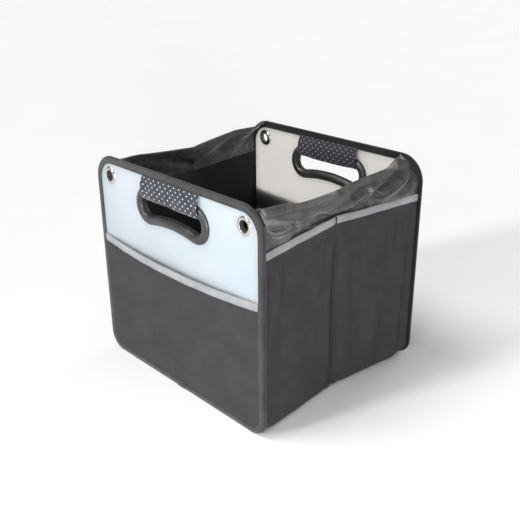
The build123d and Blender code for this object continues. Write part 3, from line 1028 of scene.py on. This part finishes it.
def make_stiffener(side, end):
    """Stiffening board hidden between a wall half's pocket and its lining."""
    along = half_columns(start=hinge_y - 4 * MM, stop=14 * MM)[::4]
    rise = rows_between(crease_rise(along) + 5 * MM, rise_at(along, band_foot - 2 * MM), 24)
    piece = wall_cloth(side, end, along, rise, board_depths).finish(f"{side}_{end}_stiffener", [M["board"]])
    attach(piece, f"{side}_{end}_wall")
    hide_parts(f"{side}_{end}_board")


def make_wall_pocket(side, end):
    """Outer pocket of a wall half, above the crease."""
    along = half_columns()
    low, high = crease_rise(along), rise_at(along, mouth_height(end, along) - 1.5 * MM)
    rise = rows_between(low, high, int(ceil((high.max() - low.min()) / cloth_step)))
    depth = pocket_depth(side, end, along, rise)
    build = wall_cloth(side, end, along, rise, (depth, depth + pocket_cloth))
    piece = build.finish(f"{side}_{end}_pocket_cloth", [M["pocket"]])
    hang(piece, side, end, ["wall_pocket", "outer_cloth"])


def make_wall_trim(side, end):
    """Tape folded over the mouth of a wall half's pocket."""
    along = half_columns(stop=trim_gap)
    top, foot = wall_trim_high.z, wall_trim_low.z + 0.6 * MM
    wobble = 0.35 * MM * waves(along, 0.0, wall_seed(side, end) + 2, (18, 60)) * eased(along[0] - along, 10)
    cloth = pocket_depth(side, end, along, rise_at(along, np.full((8, 1), top - 3 * MM)))
    grids = []
    for z, depth in (
        tape_section(foot, top, (2.4, 0.7, 0), (-0.55, -0.8, -0.8, -0.6, 0.3, 1.4, 1.7, 1.7)),
        tape_section(foot, top, (2.4, 1.1, 0.5), (-0.1, -0.3, -0.3, -0.1, 0.4, 0.9, 1.25, 1.25)),
    ):
        rise = rise_at(along, z + wobble + mouth_height(end, along) - top)
        grids.append(wall_points(side, end, along, rise, cloth + depth))
    build = Build()
    build.shell(*grids, grid_uv(grids[0]))
    facing = np.array([SIDES[side], 0.0, 0.0])
    for row, share in ((1, 0.25), (2, 0.93)):
        line = grids[0][0] * (1 - share) + grids[0][row] * share
        add_stitches(build, line + facing * 0.05 * MM, facing, pitch=3.0 * MM)
    trim = build.finish(f"{side}_{end}_mouth_tape", [M["trim"], M["trim_thread"]])
    hang(trim, side, end, ["wall_trim"])


def make_gusset(side, end):
    """Soft lower corner: pocket cloth outside, lining inside, from the crease round to the floor.
    A short tab of it stays on the panel, and the rest goes with the floor."""
    for part, start, stop in (
        ("lower_corner", corner_hinge, 0.0),
        ("corner_tab", wall_start, corner_hinge - tab_overlap),
    ):
        along = half_columns(start, stop)
        low, high = -foot_leg, crease_rise(along)
        rise = rows_between(low, high, int(ceil((high.max() - low) / cloth_step)))
        most = 2.5 * MM + 3.5 * MM * smooth(rise / (26 * MM) - 0.6)
        depth = np.where(rise < 0, 0.0, np.minimum(pocket_depth(side, end, along, rise), most))
        if part == "corner_tab":
            depth = depth + 1.4 * MM * eased(corner_hinge + 1 * MM - along, 2)
        depths = (depth, lining_depth(side, end, along, rise))
        build = wall_cloth(side, end, along, rise, depths, slots=(0, 1))
        piece = build.finish(f"{side}_{end}_{part}", [M["pocket"], M["lining"]])
        if part == "corner_tab":
            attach(piece, f"{end}_panel")
        else:
            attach(piece, f"floor_{end}")
            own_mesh(piece)
            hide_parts(f"{side}_{end}_gusset")


def make_lining_part(name, side, columns, ends):
    """One part of a wall's inner cloth above the crease, on one side of the centre fold or both."""
    parts = []
    low, high = crease_rise(columns), rise_at(columns, seam_height + 3 * MM)
    rise = rows_between(low, high, 70)
    for end in ends:
        depth = lining_depth(side, end, columns, rise, high)
        faces = [wall_points(side, end, columns, rise, d) for d in (depth - lining_cloth, depth)]
        parts.append([*faces, np.stack([np.broadcast_to(ENDS[end] * columns, rise.shape), rise], -1)])
    if len(ends) == 2:
        parts[0] = [np.hstack([near, far[:, -2::-1]]) for near, far in zip(*parts)]
    build = Build()
    build.shell(*parts[0])
    piece = build.finish(name, [M["lining"]])
    return piece


def make_wall_lining(side):
    """Inner cloth of a wall: a half on each side of the left wall's open fold, and on the right
    wall a flap between the halves, across the chained fold."""
    stop = fold_flap if side == "right" else 0.0
    for end in ENDS:
        half = make_lining_part(f"{side}_{end}_wall_lining", side, half_columns(stop=stop), [end])
        hang(half, side, end, ["lining"])
    if side == "right":
        flap = make_lining_part("right_fold_lining", side, half_columns(start=stop), list(ENDS))
        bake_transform(flap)


def band_top(along, end):
    """Height of the wall's top edge: lowest at the centre fold, climbing to the panels."""
    climb, power = {"front": (7.0 * MM, 1.1), "rear": (9.5 * MM, 0.75)}[end]
    return wall_top - 0.5 * MM + climb * np.clip(along / hinge_y, 0, 1) ** power


def settled_band(rest, along, up, seed):
    """Moves of a loose band of nylon: Blender's Cloth on its middle surface, a little too long for
    its seam, pinned to the seam and to both panels."""
    start = rest.copy()
    kick = 0.9 * MM * waves(up, along, seed + 8, (22, 50), lean=0.5)
    start[..., 0] += kick * smooth(np.linspace(0, 1, len(up))[:, None] * 2)
    build = Build()
    build.grid(start, grid_uv(start))
    sheet = build.finish("sway", [])
    order = mesh_points(sheet)
    pins = np.zeros(up.shape)
    pins[0] = 1.0
    pins[:, :2] = pins[:, -2:] = 1.0
    pins[-1] = np.maximum(pins[-1], 0.02)
    settled = simulate(sheet, pins.ravel(), 26, gravity=0.15, growth=0.05, bend=1.5)
    bpy.data.objects.remove(sheet)
    moves = capped((settled - order).reshape(rest.shape) + start - rest, 5.5 * MM)
    moves[0] = 0.0
    return moves


def band_sway(side):
    """How the loose nylon of a wall's top band buckles, and the long folds on top of that."""
    columns = half_columns()
    along = np.concatenate([-columns, columns[-2::-1]])
    away = np.abs(along)
    share = np.linspace(0, 1, 17)[:, None]
    tops = np.where(along < 0, band_top(away, "front"), band_top(away, "rear"))
    up = band_foot + 4 * MM + (tops - band_foot - 4 * MM) * share
    rest = wall_points(side, "front", away, rise_at(away, up), wall_depth / 2)
    rest[..., 1] = along
    seed = wall_seed(side, "front")
    moves = settled_band(rest, along, up, seed)
    streaks = waves(up - 0.32 * away, along, seed + 9, (17, 34), count=5, lean=0.12)
    broad = waves(along, up, seed + 12, (45, 90), count=4, lean=0.5)
    free = smooth(share / 0.45) * smooth((1 - share) / 0.3)
    moves *= smooth(share / 0.3)[..., None]
    moves[..., 0] += SIDES[side] * MM * (2.6 * streaks + 1.4 * broad + 1.2) * free
    if side == "right":
        high = eased(up - 262 * MM, 20)
        beside = hinge_y - away
        moves[..., 0] += np.where(along < 0, 7 * MM * hump(beside, 24), 0.0) * high
        moves[..., 0] -= np.where(along > 0, 6 * MM * hump(beside, 42), 0.0) * high
    return along, up, moves


def refine(points):
    """Doubles a grid's rows and columns along smooth curves through its points."""
    for axis in (0, 1):
        points = np.moveaxis(points, axis, 0)
        before = np.concatenate([2 * points[:1] - points[1:2], points[:-1]])[:-1]
        after = np.concatenate([points[1:], 2 * points[-1:] - points[-2:-1]])[1:]
        halfway = (9 * (points[:-1] + points[1:]) - before - after) / 16
        fine = np.empty((2 * len(points) - 1, *points.shape[1:]))
        fine[0::2], fine[1::2] = points, halfway
        points = np.moveaxis(fine, 0, axis)
    return points


def make_top_band(side):
    """Thin shiny nylon band: folded double over the wall's top edge, with a sewn hem."""
    along, up, moves = band_sway(side)
    middle = len(along) // 2
    share = np.linspace(0, 1, len(up))[:, None]
    seams = {-1: -3 * MM, 1: seam_height - band_foot - 4 * MM}
    for end, pick in (("front", slice(0, middle + 1)), ("rear", slice(middle, None))):
        y, z, move = along[pick], up[:, pick], moves[:, pick]
        away = np.abs(y)
        below_top = z[-1] - z
        loft = 1.1 + 0.9 * eased(band_hem - below_top, 2) - 0.8 * hump(below_top - band_hem, 1.5)
        grids = []
        for trimmed in (0.0, nylon_cloth):
            faces = []
            for face in (-1, 1):
                fine = 0.3 * MM * waves(z, y, wall_seed(side, end) + 10 + face, (12, 26), lean=0.5)
                half = loft * MM - trimmed + fine * np.sin(share * pi) * 0.5
                depth = wall_depth / 2 + 0.6 * MM + face * half
                depth = depth + 1.5 * MM * smooth(1 - share / 0.2) * max(face, 0)
                rise = rise_at(away, z + seams[face] * (1 - share))
                points = wall_points(side, "front", away, rise, depth)
                points[..., 1] = y
                faces.append(points + move)
            top = (faces[0][-1:] + faces[1][-1:]) / 2 + np.array([0, 0, 1.1 * MM - trimmed])
            grids.append(refine(np.vstack([faces[0], top, faces[1][::-1]])))
        build = Build()
        build.shell(*grids, grid_uv(grids[0]))
        row = 2 * int(np.argmin(np.abs(below_top[:, 0] - band_hem)))
        for line, face in ((grids[0][row], 1), (grids[0][-1 - row], -1)):
            facing = np.array([face * SIDES[side], 0.0, 0.0])
            add_stitches(build, line + facing * 0.05 * MM, facing, pitch=3.2 * MM)
        piece = build.finish(f"{side}_{end}_nylon_band", [M["nylon"], M["thread"]], sharp=70)
        hang_band(piece)
        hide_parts(f"{side}_{end}_top_band")


# ---- Floor ----

def floor_half(along, tightest):
    """Half the floor's width at a distance from the centre fold, where the walls' rounded foot
    is never taken to be tighter than `tightest`."""
    return wall_reach(along, foot_radius) - np.maximum(foot_size(along), tightest) + 4 * MM


def make_floor(end):
    """Lining over the floor board and base cloth under it, each turned down at its edges."""
    away = np.linspace(hinge_y + 1.0 * MM, 0.4 * MM, 64)
    share = np.linspace(-1, 1, 110)
    x = floor_half(away, 12 * MM)[:, None] * share
    y = ENDS[end] * np.broadcast_to(away[:, None], x.shape)
    rim = smooth((1 - np.abs(share)) / 0.06) * eased(away[0] - away, 5)[:, None] * eased(away, 7)[:, None]
    slack = 0.35 * MM * waves(x, y, 61, (40, 110), lean=1.0)
    upper = floor_top - 1.6 * MM * (1 - rim) + slack * rim + 0.6 * MM
    lower = ground + 0.05 * MM + 0.5 * MM * (1 - rim)
    for name, node, z, face, key, tightest in (
        ("lining_cloth", "lining", upper, 1, "lining", 9.5 * MM),
        ("underside_cloth", "base_cloth", lower, -1, "base", 12 * MM),
    ):
        half = floor_half(away, tightest)
        outer = np.stack([half[:, None] * share, y, z], -1)
        build = Build()
        build.shell(outer, outer - np.array([0, 0, face * lining_cloth]), grid_uv(outer))
        for column in (7, -8):
            add_stitches(build, outer[:, column], [0.0, 0.0, face])
        piece = build.finish(f"floor_{end}_{name}", [M[key], M["thread"]])
        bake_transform(piece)
        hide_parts(f"floor_{end}_{node}")


def make_fold_strip():
    """Soft strip of base cloth under the floor's centre fold."""
    width, length = 2 * float(strip_half.x), 2 * float(strip_half.y)
    x = np.linspace(-width / 2, width / 2, 90)
    y = np.linspace(-length / 2, length / 2, 12)[:, None]
    z = ground + 1.0 * MM + 0.25 * MM * waves(x, y, 71, (20, 50))
    outer = np.stack(np.broadcast_arrays(x, y, z), -1)
    build = Build()
    build.shell(outer, outer + np.array([0, 0, lining_cloth]), grid_uv(outer))
    piece = build.finish("floor_centre_strip", [M["base"]])
    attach(piece, "floor_front")
    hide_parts("floor_fold_strip")


# ---- The whole crate ----

def paint(node, material):
    """Gives a CAD node its looks."""
    materials = frame["nodes"][node].data.materials
    materials.clear()
    materials.append(material)


make_camera()
make_studio()

for panel_end in ENDS:
    paint(f"{panel_end}_sheet", sheet_material(panel_end))
    paint(f"floor_{panel_end}_board", M["board"])
    make_binding(panel_end)
    make_grip(panel_end)
    make_eyelets(panel_end)
    make_wrap(panel_end)
    make_end_pocket(panel_end)
    make_floor(panel_end)
    for wall_side in SIDES:
        make_stiffener(wall_side, panel_end)
        make_wall_pocket(wall_side, panel_end)
        make_wall_trim(wall_side, panel_end)
        make_gusset(wall_side, panel_end)
for wall_side in SIDES:
    make_wall_lining(wall_side)
    make_top_band(wall_side)
make_fold_strip()
